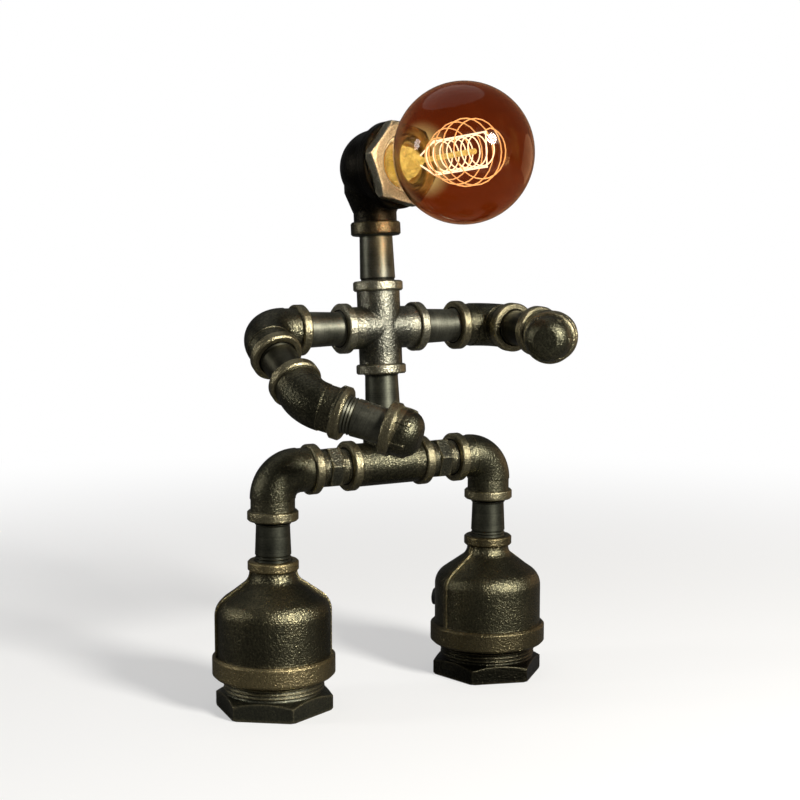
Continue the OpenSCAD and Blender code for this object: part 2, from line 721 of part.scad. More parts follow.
module holder_screws() {
    at_head() for (side = [left, right]) translate([side * clamp_x, 0, cap_back - fit]) difference() {
        union() {
            mirror([0, 0, 1]) cylinder(h = clamp_head_h, r = clamp_head_r);
            translate([0, 0, -fit]) cylinder(h = floor_z - cap_back - seat, r = clamp_r);
        }
        translate([-clamp_head_r - over, -clamp_slot / 2, -clamp_head_h - over])
            cube([2 * (clamp_head_r + over), clamp_slot, clamp_head_h / 2 + over]);
    }
}

// Bulb
module bulb_glass() {
    step_z = screw_rim + seat;
    at_head() {
        difference() {
            translate([0, 0, globe_reach]) sphere(r = globe_r);
            translate([0, 0, globe_reach]) sphere(r = globe_r - glass_t);
            translate([0, 0, join_z - globe_r]) cylinder(h = globe_r, r = globe_r);
        }
        round_piece(concat([[stub_r - glass_t, stub_z], [stub_r, stub_z], [stub_r, step_z],
                            [glass_neck_r, step_z + neck_step]],
                           arc(fillet_ring, globe_reach - fillet_back, glass_fillet, half_turn, join_turn),
                           [[join_in, join_z]],
                           [for (p = arc(fillet_ring, globe_reach - fillet_back, glass_fillet + glass_t,
                                         join_turn_in, half_turn)) if (p[0] < join_in) p],
                           [[glass_neck_r - glass_t, step_z + neck_step],
                            [stub_r - glass_t, step_z]]));
    }
}
module bulb_screw_cap() {
    root = screw_r - screw_deep;
    tall = collar_z - thread_foot;
    at_head() round_piece(concat([[lip_r, thread_foot]],
                                 waves(root, thread_foot, tall, screw_ridge_gap, screw_deep),
                                 [[screw_r, collar_z], [screw_r, screw_rim],
                                  [screw_r - shell_t, screw_rim], [screw_r - shell_t, collar_z]],
                                 backwards(waves(root - shell_t, thread_foot + shell_t, tall - shell_t,
                                                 screw_ridge_gap, screw_deep)),
                                 [[lip_r, thread_foot + shell_t]]));
}
module bulb_insulator() {
    low = screw_foot + contact_t + fit;
    at_head() round_piece([[0, low], [tip_r, low], [lip_r + lap, thread_foot - fit],
                           [0, thread_foot - fit]]);
}
module bulb_contact() {
    at_head() round_piece([[0, screw_foot], [contact_r - contact_edge, screw_foot],
                           [contact_r, screw_foot + contact_edge], [contact_r, screw_foot + contact_t],
                           [0, screw_foot + contact_t]]);
}
module bulb_stem() {
    rim = stub_r - glass_t - fit;
    rod_top = coil_end - rod_short;
    at_head() round_piece([[flare_r - flare_t, stub_z], [rim, stub_z], [rim, stub_z + flare_t],
                           [flare_r, stub_z + flare_step], [flare_r, flare_top], [press_r, press_top],
                           [stem_r, press_top], [stem_r, rod_top], [0, rod_top],
                           [0, press_top - flare_step], [flare_r - flare_t, flare_top - flare_t]]);
}
module bulb_support_wires() {
    low = [lead_off, press_top + fit];
    bend = [rail_off, coil_start - rail_over];
    tall = coil_len + 2 * rail_over;
    slope = atan2(bend[0] - low[0], bend[1] - low[1]);
    at_head() {
        for (side = [left, right]) mirror([0, side == left ? 1 : 0, 0]) {
            translate([0, bend[0], bend[1]]) cylinder(h = tall, r = rail_r);
            translate([0, bend[0], bend[1]]) sphere(r = rail_r + rail_knot);
            translate([0, bend[0], bend[1] + tall]) sphere(r = rail_r + rail_knot);
            translate([0, low[0] + rail_r, low[1] + rail_r]) rotate([-slope, 0, 0])
                cylinder(h = norm(bend - low) - rail_r, r = rail_r);
        }
        translate([0, 0, bend[1] + tall]) rotate([90, 0, 0])
            cylinder(h = 2 * rail_off, r = rail_r - rail_knot, center = true);
    }
}
module bulb_filament_inner() { at_head() wound(coil_path); }
module bulb_filament_outer() { at_head() wound(loop_path); }

// Cord inlet and the lead inside the pipes
module cord_grommet() {
    at_inlet() difference() {
        union() {
            difference() {
                translate([0, 0, bell_in_r]) cylinder(h = bell_wall + inlet_rim_w, r = inlet_rim_od / 2);
                rotate([0, 90, 0]) cylinder(h = bell_od, r = bell_r + fit, center = true);
            }
            translate([0, 0, inlet_r])
                cylinder(h = bell_wall + inlet_lip_w + seat + lap, r = inlet_hole_r - fit);
            translate([0, 0, inlet_r]) cylinder(h = inlet_lip_w - seat, r = inlet_hole_r + inlet_lip);
        }
        translate([0, 0, inlet_r + inlet_lip_w]) cylinder(h = bell_od, r = inlet_bore / 2);
        cylinder(h = bell_od, r = flex_r + fit);
    }
}
module flex_leg() {
    at_inlet() translate([0, 0, inlet_bend - lap])
        cylinder(h = inlet_r + inlet_lip_w - inlet_bend + lap, r = flex_r);
    at_inlet() translate([-inlet_bend, 0, inlet_bend]) rotate([90, 0, 0]) rotate([0, 0, -90])
        rotate_extrude(angle = 90) translate([inlet_bend, 0]) circle(r = flex_r + flex_bulge);
    at_leg(right) translate([0, 0, inlet_z + inlet_bend - lap])
        cylinder(h = hip_h - flex_bend - inlet_z - inlet_bend + 2 * lap, r = flex_r);
    at_leg(right) translate([-flex_bend, 0, hip_h - flex_bend]) rotate([90, 0, 0])
        rotate_extrude(angle = 90) translate([flex_bend, 0]) circle(r = flex_r + flex_bulge);
    at_hip() translate([flex_bend + flex_split, 0, 0]) rotate([0, 90, 0])
        cylinder(h = leg_x - 2 * flex_bend - flex_split + lap, r = flex_r);
}
module flex_trunk() {
    at_trunk() translate([flex_bend, 0, flex_bend]) rotate([90, 0, 0]) rotate([0, 0, half_turn])
        rotate_extrude(angle = 90) translate([flex_bend, 0]) circle(r = flex_r + flex_bulge);
    at_trunk() translate([0, 0, flex_bend - lap])
        cylinder(h = torso_len + neck_len - head_drop + socket - seat - flex_bend + lap, r = flex_r);
}
module flex_head() {
    at_head() at_head_lead()
        cylinder(h = norm([head_lead_y - head_lead_low, head_lead_z]) - seat, r = flex_r);
}

color("dimgray") foot_plug(left);  // foot_plug_left
color("dimgray") foot_plug(right);  // foot_plug_right
color("dimgray") foot_bell(left);  // foot_bell_left
color("dimgray") foot_bell(right);  // foot_bell_right
color("slategray") leg_pipe(left);  // leg_pipe_left
color("slategray") leg_pipe(right);  // leg_pipe_right
color("dimgray") hip_elbow(left);  // hip_elbow_left
color("dimgray") hip_elbow(right);  // hip_elbow_right
color("slategray") hip_nipple(left);  // hip_nipple_left
color("slategray") hip_nipple(right);  // hip_nipple_right
color("dimgray") pelvis_tee();
color("slategray") torso_pipe();
color("dimgray") chest_cross();
color("slategray") neck_pipe();
color("slategray") shoulder_pipe(left);  // shoulder_pipe_left
color("slategray") shoulder_pipe(right);  // shoulder_pipe_right
color("dimgray") shoulder_elbow(left);  // shoulder_elbow_left
color("dimgray") shoulder_elbow(right);  // shoulder_elbow_right
color("slategray") upper_arm_pipe(left);  // upper_arm_pipe_left
color("slategray") upper_arm_pipe(right);  // upper_arm_pipe_right
color("dimgray") forearm_elbow(left);  // forearm_elbow_left
color("dimgray") forearm_elbow(right);  // forearm_elbow_right
color("slategray") forearm_pipe(left);  // forearm_pipe_left
color("slategray") forearm_pipe(right);  // forearm_pipe_right
color("dimgray") hand_cap(left);  // hand_cap_left
color("dimgray") hand_cap(right);  // hand_cap_right
color("darkslategray") head_elbow();
color("darkkhaki") head_bushing();
color("ivory") holder_body();
color("ivory") holder_cap();
color("goldenrod") holder_screw_shell();
color("goldenrod") holder_contact();
color("silver") holder_screws();
color("sienna", 0.45) bulb_glass();
color("goldenrod") bulb_screw_cap();
color("black") bulb_insulator();
color("silver") bulb_contact();
color("lightyellow") bulb_stem();
color("silver") bulb_support_wires();
color("orange") bulb_filament_inner();
color("orange") bulb_filament_outer();
color("black") cord_grommet();
color("saddlebrown") flex_leg();
color("saddlebrown") flex_trunk();
color("saddlebrown") flex_head();
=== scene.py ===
import json
import math

import bmesh
import bpy
from mathutils import Matrix, Vector


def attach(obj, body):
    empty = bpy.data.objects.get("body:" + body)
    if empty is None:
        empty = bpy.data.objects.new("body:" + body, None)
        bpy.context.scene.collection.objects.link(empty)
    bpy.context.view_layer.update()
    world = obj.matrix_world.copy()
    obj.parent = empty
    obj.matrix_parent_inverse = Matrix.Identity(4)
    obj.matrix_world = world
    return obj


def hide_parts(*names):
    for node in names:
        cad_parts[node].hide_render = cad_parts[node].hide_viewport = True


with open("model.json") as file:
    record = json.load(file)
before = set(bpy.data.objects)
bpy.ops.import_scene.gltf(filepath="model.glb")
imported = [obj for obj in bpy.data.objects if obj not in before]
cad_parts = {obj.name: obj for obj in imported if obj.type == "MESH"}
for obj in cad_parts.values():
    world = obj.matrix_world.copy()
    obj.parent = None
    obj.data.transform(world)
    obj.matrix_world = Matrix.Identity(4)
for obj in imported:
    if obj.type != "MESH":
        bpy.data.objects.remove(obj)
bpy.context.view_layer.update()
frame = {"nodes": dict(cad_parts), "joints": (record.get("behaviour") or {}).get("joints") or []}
nodes = frame["nodes"]
print("frame loaded:", len(nodes), "nodes")


# A value or a vector in a shader, which takes Python arithmetic
class Signal:
    def __init__(self, graph, socket):
        self.graph = graph
        self.socket = socket
        self.wide = socket.type in ("VECTOR", "RGBA")

    def combine(self, operation, first, second):
        wide = any(isinstance(value, tuple) or getattr(value, "wide", False) for value in (first, second))
        kind = "ShaderNodeVectorMath" if wide else "ShaderNodeMath"
        return self.graph.add(kind, {"operation": operation}, first, second)

    def __add__(self, other):
        return self.combine("ADD", self, other)

    def __radd__(self, other):
        return self.combine("ADD", other, self)

    def __sub__(self, other):
        return self.combine("SUBTRACT", self, other)

    def __rsub__(self, other):
        return self.combine("SUBTRACT", other, self)

    def __mul__(self, other):
        return self.combine("MULTIPLY", self, other)

    def __rmul__(self, other):
        return self.combine("MULTIPLY", other, self)

    def larger(self, other):
        return self.combine("MAXIMUM", self, other)

    def clamped(self, low=0.0, high=1.0):
        return self.graph.add("ShaderNodeClamp", {}, self, low, high)

    # 0 below low, 1 above high, smooth between
    def ramp(self, low, high):
        settings = {"interpolation_type": "SMOOTHSTEP"}
        return self.graph.add("ShaderNodeMapRange", settings, self, low, high, 0.0, 1.0)

    # a noise turned to one that varies about 0
    def swing(self, amount):
        noiseMiddle = 0.5
        return (self - noiseMiddle) * amount

    def length(self):
        return self.graph.add("ShaderNodeVectorMath", {"operation": "LENGTH"}, self, out="Value")

    def dot(self, direction):
        settings = {"operation": "DOT_PRODUCT"}
        return self.graph.add("ShaderNodeVectorMath", settings, self, tuple(direction), out="Value")


# The node tree of a material or of the world
class Graph:
    def __init__(self, owner):
        owner.use_nodes = True
        self.owner = owner
        self.tree = owner.node_tree
        self.tree.nodes.clear()

    def feed(self, socket, value):
        if isinstance(value, Signal):
            self.tree.links.new(value.socket, socket)
        elif socket.type == "RGBA":
            socket.default_value = (*value, 1.0)
        else:
            socket.default_value = value

    # settings go first, then values or links, in the sockets' order or by name
    def add(self, kind, settings, *values, out=0):
        node = self.tree.nodes.new(kind)
        for name, value in settings.items():
            setattr(node, name, value)
        pairs = values[0].items() if values and isinstance(values[0], dict) else enumerate(values)
        for key, value in pairs:
            self.feed(node.inputs[key], value)
        return Signal(self, node.outputs[out]) if node.outputs else None  # a last node has none

    def end(self, shader, kind="ShaderNodeOutputMaterial"):
        self.add(kind, {}, {"Surface": shader})

    def place(self):
        return self.add("ShaderNodeTexCoord", {}, out="Object")

    def ray(self, question):
        return self.add("ShaderNodeLightPath", {}, out=question)

    # 1 for what the camera sees, itself or through glass
    def seen(self):
        return self.ray("Is Camera Ray").larger(self.ray("Is Transmission Ray"))

    def noise(self, where, scale, detail, rough=0.55):
        return self.add("ShaderNodeTexNoise", {"noise_dimensions": "3D"},
                        {"Vector": where, "Scale": scale, "Detail": detail, "Roughness": rough})

    def cells(self, where, scale):
        sockets = {"Vector": where, "Scale": scale}
        return self.add("ShaderNodeTexVoronoi", {"feature": "F1"}, sockets, out="Distance")

    # one colour where share is 0 and the other where it's 1
    def blend(self, one, other, share):
        return self.add("ShaderNodeMix", {"data_type": "RGBA"}, {0: share, 6: one, 7: other}, out=2)

    def shaders(self, one, other, share):
        return self.add("ShaderNodeMixShader", {}, share, one, other)

    # how strongly an outer edge shows here, from 0 to 1
    def edge(self, reach, samples=6):
        settings = {"inside": True, "only_local": True, "samples": samples}
        return 1.0 - self.add("ShaderNodeAmbientOcclusion", settings, {"Distance": reach}, out="AO")

    # the same for an inner corner
    def hollow(self, reach, samples=6):
        settings = {"samples": samples}
        return 1.0 - self.add("ShaderNodeAmbientOcclusion", settings, {"Distance": reach}, out="AO")

    def soften(self, radius, samples=4):
        return self.add("ShaderNodeBevel", {"samples": samples}, {"Radius": radius})

    def bump(self, height, strength, distance, **more):
        sockets = {"Height": height, "Strength": strength, "Distance": distance}
        return self.add("ShaderNodeBump", {}, {**sockets, **more})

    # a bump on edges that are rounded first
    def roundedBump(self, height, strength, distance, rounding):
        return self.bump(height, strength, distance, Normal=self.soften(rounding))

    def surface(self, **sockets):
        return self.add("ShaderNodeBsdfPrincipled", {},
                        {name.replace("_", " "): value for name, value in sockets.items()})


def startMaterial(name):
    return Graph(bpy.data.materials.new(name))


def dress(node, material):
    mesh = nodes[node].data
    mesh.materials.clear()
    mesh.materials.append(material)


# Cast iron, blackened, then rubbed back to old brass on its beads, edges and grain, with painted shade
# darkening its inner corners; lengths are in metres
ironLook = {
    "black": (0.012, 0.0118, 0.009),
    "bronze": (0.17, 0.163, 0.103),
    "brass": (0.50, 0.435, 0.26),
    "patches": (40.0, 3.0),  # scale, detail and, where it isn't the usual, roughness of a noise
    "grain": (740.0, 3.0, 0.65),
    "pits": 1000.0,  # scale
    "speckleMix": (1.1, 0.25, 0.25),  # of grain, pits and patches
    "speckleRange": (0.66, 1.02),
    "bronzeShare": 0.36,
    "bronzeSwing": 0.35,
    "patchRange": (0.40, 0.70),
    "grainRub": (0.02, 0.10),  # the brass everywhere, and what patches add
    "edgeReach": 0.0026,
    "edgeRange": (0.22, 0.5),
    "edgeRub": (0.30, 0.35),  # on a plain edge, and what speckle adds
    "collarRub": (0.55, 0.3),  # on a plain bead, and what speckle adds
    "collarShare": 0.62,
    "collarLine": 0.0002,  # half the line where a bead begins
    "rubShare": 1.0,
    # painted shade: inner corners within this reach are blended toward black
    "hollowReach": 0.0055,
    "hollowRange": (0.30, 0.85),
    "hollowShare": 0.85,
    "metal": 1.0,
    "rough": 0.37,
    "roughShine": 0.10,
    "roughLimits": (0.2, 0.9),
    "heightMix": (0.75, 0.25),  # of grain and pits
    "grainStrength": 1.0,
    "grainDeep": 0.00052,
    "rounding": 0.0011,
}


# collars are the planes past which a fitting is all bead: a point, a direction and an offset
def ironMaterial(name, collars, changes):
    look = {**ironLook, **changes}
    g = startMaterial(name)
    place = g.place()
    patches = g.noise(place, *look["patches"])
    grain = g.noise(place, *look["grain"])
    pits = 1.0 - g.cells(place, look["pits"])
    grainPart, pitPart, patchPart = look["speckleMix"]
    speckle = (grain * grainPart + pits * pitPart + patches * patchPart).ramp(*look["speckleRange"])

    least, more = look["grainRub"]
    rub = speckle * (least + patches.ramp(*look["patchRange"]) * more)
    least, more = look["edgeRub"]
    rub = rub + g.edge(look["edgeReach"]).ramp(*look["edgeRange"]) * (least + speckle * more)
    collar = None
    for point, direction, offset in collars:
        start = point.dot(direction) + offset
        past = place.dot(direction).ramp(start - look["collarLine"], start + look["collarLine"])
        collar = past if collar is None else collar.larger(past)
    if collar is not None:
        least, more = look["collarRub"]
        rub = rub + collar * (speckle * more + least) * look["collarShare"]
    rub = rub.clamped() * look["rubShare"]

    bronzed = speckle.swing(look["bronzeSwing"]) + patches.swing(look["bronzeSwing"]) + look["bronzeShare"]
    # painted shade: inner corners and the gaps beside beads are darkened toward black
    paintedShade = g.hollow(look["hollowReach"]).ramp(*look["hollowRange"]) * look["hollowShare"]
    colour = g.blend(look["black"], look["bronze"], bronzed.clamped())
    colour = g.blend(colour, look["brass"], rub)
    colour = g.blend(colour, look["black"], paintedShade)
    rough = (look["rough"] - speckle * look["roughShine"]).clamped(*look["roughLimits"])
    grainPart, pitPart = look["heightMix"]
    normal = g.roundedBump(grain * grainPart + pits * pitPart, look["grainStrength"], look["grainDeep"],
                           look["rounding"])
    g.end(g.surface(Base_Color=colour, Metallic=look["metal"], Roughness=rough, Normal=normal))
    return g.owner


# Drawn pipe with fine rings round it, bright on its ridges and darkened beside its fittings with painted
# shade
pipeLook = {
    "dark": (0.045, 0.046, 0.034),
    "light": (0.23, 0.225, 0.172),
    "bright": (0.40, 0.34, 0.20),
    # the colour of the painted shade beside the fittings
    "paintedShade": (0.01, 0.01, 0.008),
    "rings": (1500.0, 3.0, 0.7),
    "bands": (160.0, 2.0),
    "clouds": (90.0, 4.0),
    "flecks": (900.0, 3.0),
    "toneMix": (0.45, 0.3, 0.45, 0.3),  # of rings, bands, clouds and flecks
    "toneRange": (0.3, 1.0),
    "edgeReach": 0.0007,
    "edgeRange": (0.35, 0.7),
    "edgeShare": 0.8,
    # painted shade beside the fittings: its reach, ramp and share
    "hollowReach": 0.004,
    "hollowRange": (0.35, 0.95),
    "hollowShare": 0.8,
    "metal": 0.95,
    "rough": 0.41,
    "roughSwing": (0.16, 0.14),  # by rings and by clouds
    "roughLimits": (0.15, 0.8),
    "heightMix": (0.5, 0.5),  # of rings and flecks
    "ringStrength": 0.3,
    "ringDeep": 0.00012,
    "rounding": 0.0003,
}


def pipeMaterial(name, axis, changes):
    look = {**pipeLook, **changes}
    g = startMaterial(name)
    place = g.place()
    along = g.add("ShaderNodeCombineXYZ", {}, place.dot(axis), 0.0, 0.0)
    rings = g.noise(along, *look["rings"])
    bands = g.noise(along, *look["bands"])
    clouds = g.noise(place, *look["clouds"])
    flecks = g.noise(place, *look["flecks"])
    ringPart, bandPart, cloudPart, fleckPart = look["toneMix"]
    tone = rings * ringPart + bands * bandPart + clouds * cloudPart + flecks.swing(fleckPart)
    ridge = g.edge(look["edgeReach"]).ramp(*look["edgeRange"]) * look["edgeShare"]
    # painted shade: the pipe is darkened where it meets a fitting
    paintedShade = g.hollow(look["hollowReach"]).ramp(*look["hollowRange"]) * look["hollowShare"]
    colour = g.blend(look["dark"], look["light"], tone.ramp(*look["toneRange"]))
    colour = g.blend(colour, look["bright"], ridge)
    colour = g.blend(colour, look["paintedShade"], paintedShade)
    byRings, byClouds = look["roughSwing"]
    rough = (look["rough"] + rings.swing(byRings) + clouds.swing(byClouds)).clamped(*look["roughLimits"])
    ringPart, fleckPart = look["heightMix"]
    normal = g.roundedBump(rings * ringPart + flecks * fleckPart, look["ringStrength"], look["ringDeep"],
                           look["rounding"])
    g.end(g.surface(Base_Color=colour, Metallic=look["metal"], Roughness=rough, Normal=normal))
    return g.owner


# Directions of the figure's parts at rest, as the frame's joints give them
joints = {joint["name"]: joint for joint in frame["joints"]}
trunkAxis = Vector(joints["head_swivel"]["axis"])
headCentre = Vector(joints["head_swivel"]["pos_m"])
lookAxis = Vector(joints["bulb_out"]["axis"])
sideAxis = Vector((1.0, 0.0, 0.0))
upAxis = Vector((0.0, 0.0, 1.0))
rolls = {"left": 7.5, "right": 0.0}  # how far each elbow lifts its hand, in degrees
inward = {"left": sideAxis, "right": -sideAxis}
armAxis = {side: Vector(joints["elbow_" + side]["axis"]) for side in rolls}
handAxis = {}
for side, roll in rolls.items():
    armUp = armAxis[side].cross(-sideAxis)
    swing = inward[side] * math.cos(math.radians(roll)) + armUp * math.sin(math.radians(roll))
    handAxis[side] = (armAxis[side] + swing).normalized()

# Centres of the fittings, and how far their beads are from them, in metres
hipCentre = Vector(joints["waist"]["pos_m"])
chestCentre = Vector(joints["shoulder_left"]["pos_m"])
chestCentre.x = 0.0
shoulderCentre = {side: Vector(joints["shoulder_" + side]["pos_m"]) for side in rolls}
elbowCentre = {side: Vector(joints["elbow_" + side]["pos_m"]) for side in rolls}
fittingSizes = {
    "bead": 0.006,
    "face": 0.028,
    "face45": 0.022,
    "legX": 0.0755,
    "headDrop": 0.040,
    "neckBead": 0.008,
    "bellTop": 0.0885,
    "bellWall": 0.033,
    "handGap": {"left": 0.023, "right": 0.0015},
}
bead = fittingSizes["bead"]
mouth = fittingSizes["face"] - bead
mouth45 = fittingSizes["face45"] - bead
collars = {
    "pelvis_tee": [(hipCentre, way, mouth) for way in (sideAxis, -sideAxis, trunkAxis)],
    "chest_cross": [(chestCentre, way, mouth) for way in (sideAxis, -sideAxis, trunkAxis, -trunkAxis)],
    "head_elbow": [(headCentre, -trunkAxis, fittingSizes["headDrop"] - fittingSizes["neckBead"])],
}
pipeAxes = {"torso_pipe": trunkAxis, "neck_pipe": trunkAxis}
for side in rolls:
    shoulder, elbow, arm, hand = shoulderCentre[side], elbowCentre[side], armAxis[side], handAxis[side]
    legCentre = hipCentre - inward[side] * fittingSizes["legX"]
    handMouth = elbow + hand * (fittingSizes["face45"] + fittingSizes["handGap"][side])
    collars["hip_elbow_" + side] = [(legCentre, way, mouth) for way in (inward[side], -upAxis)]
    collars["shoulder_elbow_" + side] = [(shoulder, way, mouth) for way in (inward[side], arm)]
    collars["forearm_elbow_" + side] = [(elbow, way, mouth45) for way in (-arm, hand)]
    collars["hand_cap_" + side] = [(handMouth, -hand, -bead)]
    collars["foot_bell_" + side] = [(Vector(), upAxis, fittingSizes["bellTop"] - bead),
                                    (Vector(), -upAxis, -fittingSizes["bellWall"])]
    pipeAxes["leg_pipe_" + side] = upAxis
    pipeAxes["shoulder_pipe_" + side] = sideAxis
    pipeAxes["upper_arm_pipe_" + side] = arm
    pipeAxes["forearm_pipe_" + side] = hand

# How a fitting differs from ironLook or pipeLook, by its name or its name without the side
ironChanges = {
    "head_elbow": {"black": (0.006, 0.0055, 0.0045), "bronze": (0.017, 0.015, 0.011), "rubShare": 0.5,
                   "edgeRange": (0.4, 1.0), "collarShare": 0.42, "grainDeep": 0.0004},
    "head_bushing": {"black": (0.10, 0.094, 0.066), "bronze": (0.46, 0.43, 0.32), "bronzeShare": 0.55,
                     "brass": (0.92, 0.87, 0.70), "rough": 0.42, "edgeRange": (0.12, 0.32)},
    "chest_cross": {"bronze": (0.26, 0.255, 0.20), "brass": (0.56, 0.52, 0.37), "bronzeShare": 0.46},
    "hand_cap": {"bronzeShare": 0.52},
    "hip_elbow": {"bronzeShare": 0.56},
    "hip_nipple": {"bronze": (0.24, 0.235, 0.17), "bronzeShare": 0.5, "edgeRange": (0.15, 0.4)},
    "foot_bell_left": {"black": (0.021, 0.021, 0.015), "bronze": (0.20, 0.185, 0.112), "bronzeShare": 0.42,
                       "brass": (0.60, 0.47, 0.23), "rough": 0.36, "grainDeep": 0.00055},
    # the right bell's bead is darker than the left's: painted shade on the right foot
    "foot_bell_right": {"black": (0.018, 0.018, 0.012), "bronze": (0.20, 0.185, 0.112), "bronzeShare": 0.42,
                        "brass": (0.36, 0.27, 0.12), "rough": 0.36, "grainDeep": 0.00055,
                        "collarShare": 0.3},
    # the left sole is lighter with wider brass edges: a painted reflection on its faces and painted
    # highlights on its edges
    "foot_plug_left": {"black": (0.055, 0.056, 0.042), "bronze": (0.15, 0.15, 0.105), "rough": 0.40,
                       "edgeRange": (0.14, 0.36)},
    # the right sole is near black: painted shade on the right foot
    "foot_plug_right": {"black": (0.010, 0.010, 0.007), "bronze": (0.032, 0.030, 0.020), "rubShare": 0.5},
}
pipeChanges = {
    "torso_pipe": {"dark": (0.025, 0.027, 0.021), "light": (0.115, 0.115, 0.085)},
    "leg_pipe": {"dark": (0.025, 0.027, 0.021), "light": (0.13, 0.13, 0.095)},
    "upper_arm_pipe": {"dark": (0.018, 0.018, 0.012), "light": (0.075, 0.07, 0.048)},
    "neck_pipe": {"light": (0.15, 0.15, 0.118)},
}

# The small parts, by their material: the pieces that have it and its look
smallLook = {
    "rough": 0.5,
    "metal": 0.0,
    "clear": 0.0,
    "glow": None,
    "strength": 0.0,
    "crinkle": 0.0,  # how far folds swing the glow, into painted crinkled highlights on the stem glass; at 0 there are no folds
    "shade": (0.82, 0.36),  # of the colour, everywhere and by the clouds
    "clouds": (160.0, 4.0),
    "fine": (1400.0, 3.0),
    "fineStrength": 0.2,
    "fineDeep": 0.00008,
    "roughSwing": 0.12,
    "roughLimits": (0.02, 1.0),
    "folds": (260.0, 3.0, 0.7),
    "foldRange": (0.38, 0.62),
    "foldStrength": 1.0,
    "foldDeep": 0.002,
}
smallParts = {
    "porcelain": {"pieces": ["holder_body"], "colour": (0.50, 0.47, 0.34), "rough": 0.3, "crinkle": 1.0},
    "porcelainCap": {"pieces": ["holder_cap"], "colour": (0.55, 0.5, 0.4), "rough": 0.35},
    "thinBrass": {"pieces": ["holder_screw_shell", "holder_contact", "bulb_screw_cap"],
                  "colour": (0.75, 0.52, 0.18), "rough": 0.3, "metal": 1.0},
    "brightMetal": {"pieces": ["holder_screws", "bulb_contact"],
                    "colour": (0.6, 0.58, 0.53), "rough": 0.3, "metal": 1.0},
    "blackGlass": {"pieces": ["bulb_insulator"], "colour": (0.012, 0.012, 0.012), "rough": 0.2},
    "blackRubber": {"pieces": ["cord_grommet"], "colour": (0.012, 0.012, 0.012), "rough": 0.65},
    "leadSheath": {"pieces": ["flex_leg", "flex_trunk", "flex_head"],
                   "colour": (0.10, 0.05, 0.02), "rough": 0.6},
    "hotInner": {"pieces": ["bulb_filament_inner"], "colour": (0.6, 0.4, 0.2),
                 "glow": (1.0, 0.88, 0.76), "strength": 1.5},
    "hotOuter": {"pieces": ["bulb_filament_outer"], "colour": (0.6, 0.3, 0.1),
                 "glow": (1.0, 0.66, 0.36), "strength": 0.6},
    "hotRail": {"pieces": ["bulb_support_wires"], "colour": (0.6, 0.4, 0.2), "rough": 0.4,
                "glow": (1.0, 0.90, 0.80), "strength": 1.7},
    # the stem glass is no lamp: its glow is painted light, swung by the folds into painted crinkled
    # highlights
    "stemGlassPaintedGlow": {"pieces": ["bulb_stem"], "colour": (0.95, 0.8, 0.4), "rough": 0.05, "clear": 0.6,
                  "crinkle": 1.4, "glow": (0.5, 0.43, 0.14), "strength": 0.45},
}


def smallMaterial(name, part):
    look = {**smallLook, **part}
    g = startMaterial(name)
    place = g.place()
    fine = g.noise(place, *look["fine"])
    everywhere, byClouds = look["shade"]
    shade = (everywhere + g.noise(place, *look["clouds"]) * byClouds) * look["colour"]
    rough = (look["rough"] + fine.swing(look["roughSwing"])).clamped(*look["roughLimits"])
    glow = look["glow"]
    if look["crinkle"]:
        folds = g.noise(place, *look["folds"]).ramp(*look["foldRange"])
        normal = g.bump(folds, look["foldStrength"], look["foldDeep"])
        # where the part is no lamp, as on the stem glass, this glow is painted light
        if glow:
            glow = (1.0 + folds.swing(look["crinkle"])) * glow
    else:
        normal = g.bump(fine, look["fineStrength"], look["fineDeep"])
    sockets = {"Base_Color": shade, "Metallic": look["metal"], "Roughness": rough, "Normal": normal,
               "Transmission_Weight": look["clear"]}
    if glow:
        sockets.update(Emission_Color=glow, Emission_Strength=look["strength"])
    g.end(g.surface(**sockets))
    return g.owner


dressed = {"bulb_glass"}  # nothing to dress there: the scene's own globe stands in its place
for name, part in smallParts.items():
    material = smallMaterial(name, part)
    for piece in part["pieces"]:
        dress(piece, material)
        dressed.add(piece)
print("small parts dressed")

for name in nodes:
    if name in dressed:
        continue
    stem = name.removesuffix("_left").removesuffix("_right")
    if name in pipeAxes:
        dress(name, pipeMaterial(name + "Steel", pipeAxes[name], pipeChanges.get(stem, {})))
    else:
        changes = ironChanges.get(name, ironChanges.get(stem, {}))
        dress(name, ironMaterial(name + "Iron", collars.get(name, ()), changes))
print("fittings dressed")

# The globe in metres, along its axis from the head's centre and out from it
globeSizes = {
    "radius": 0.04,
    "reach": 0.079,
    "glass": 0.0009,
    "neckRadius": 0.0145,
    "fillet": 0.010,
    "foot": 0.02675,
    "footLip": 0.0012,
    "stub": 0.012375,
    "stubFoot": 0.02355,
    "filletSteps": 16,
    "globeSteps": 64,
    "segments": 160,
    "weld": 1e-6,
}


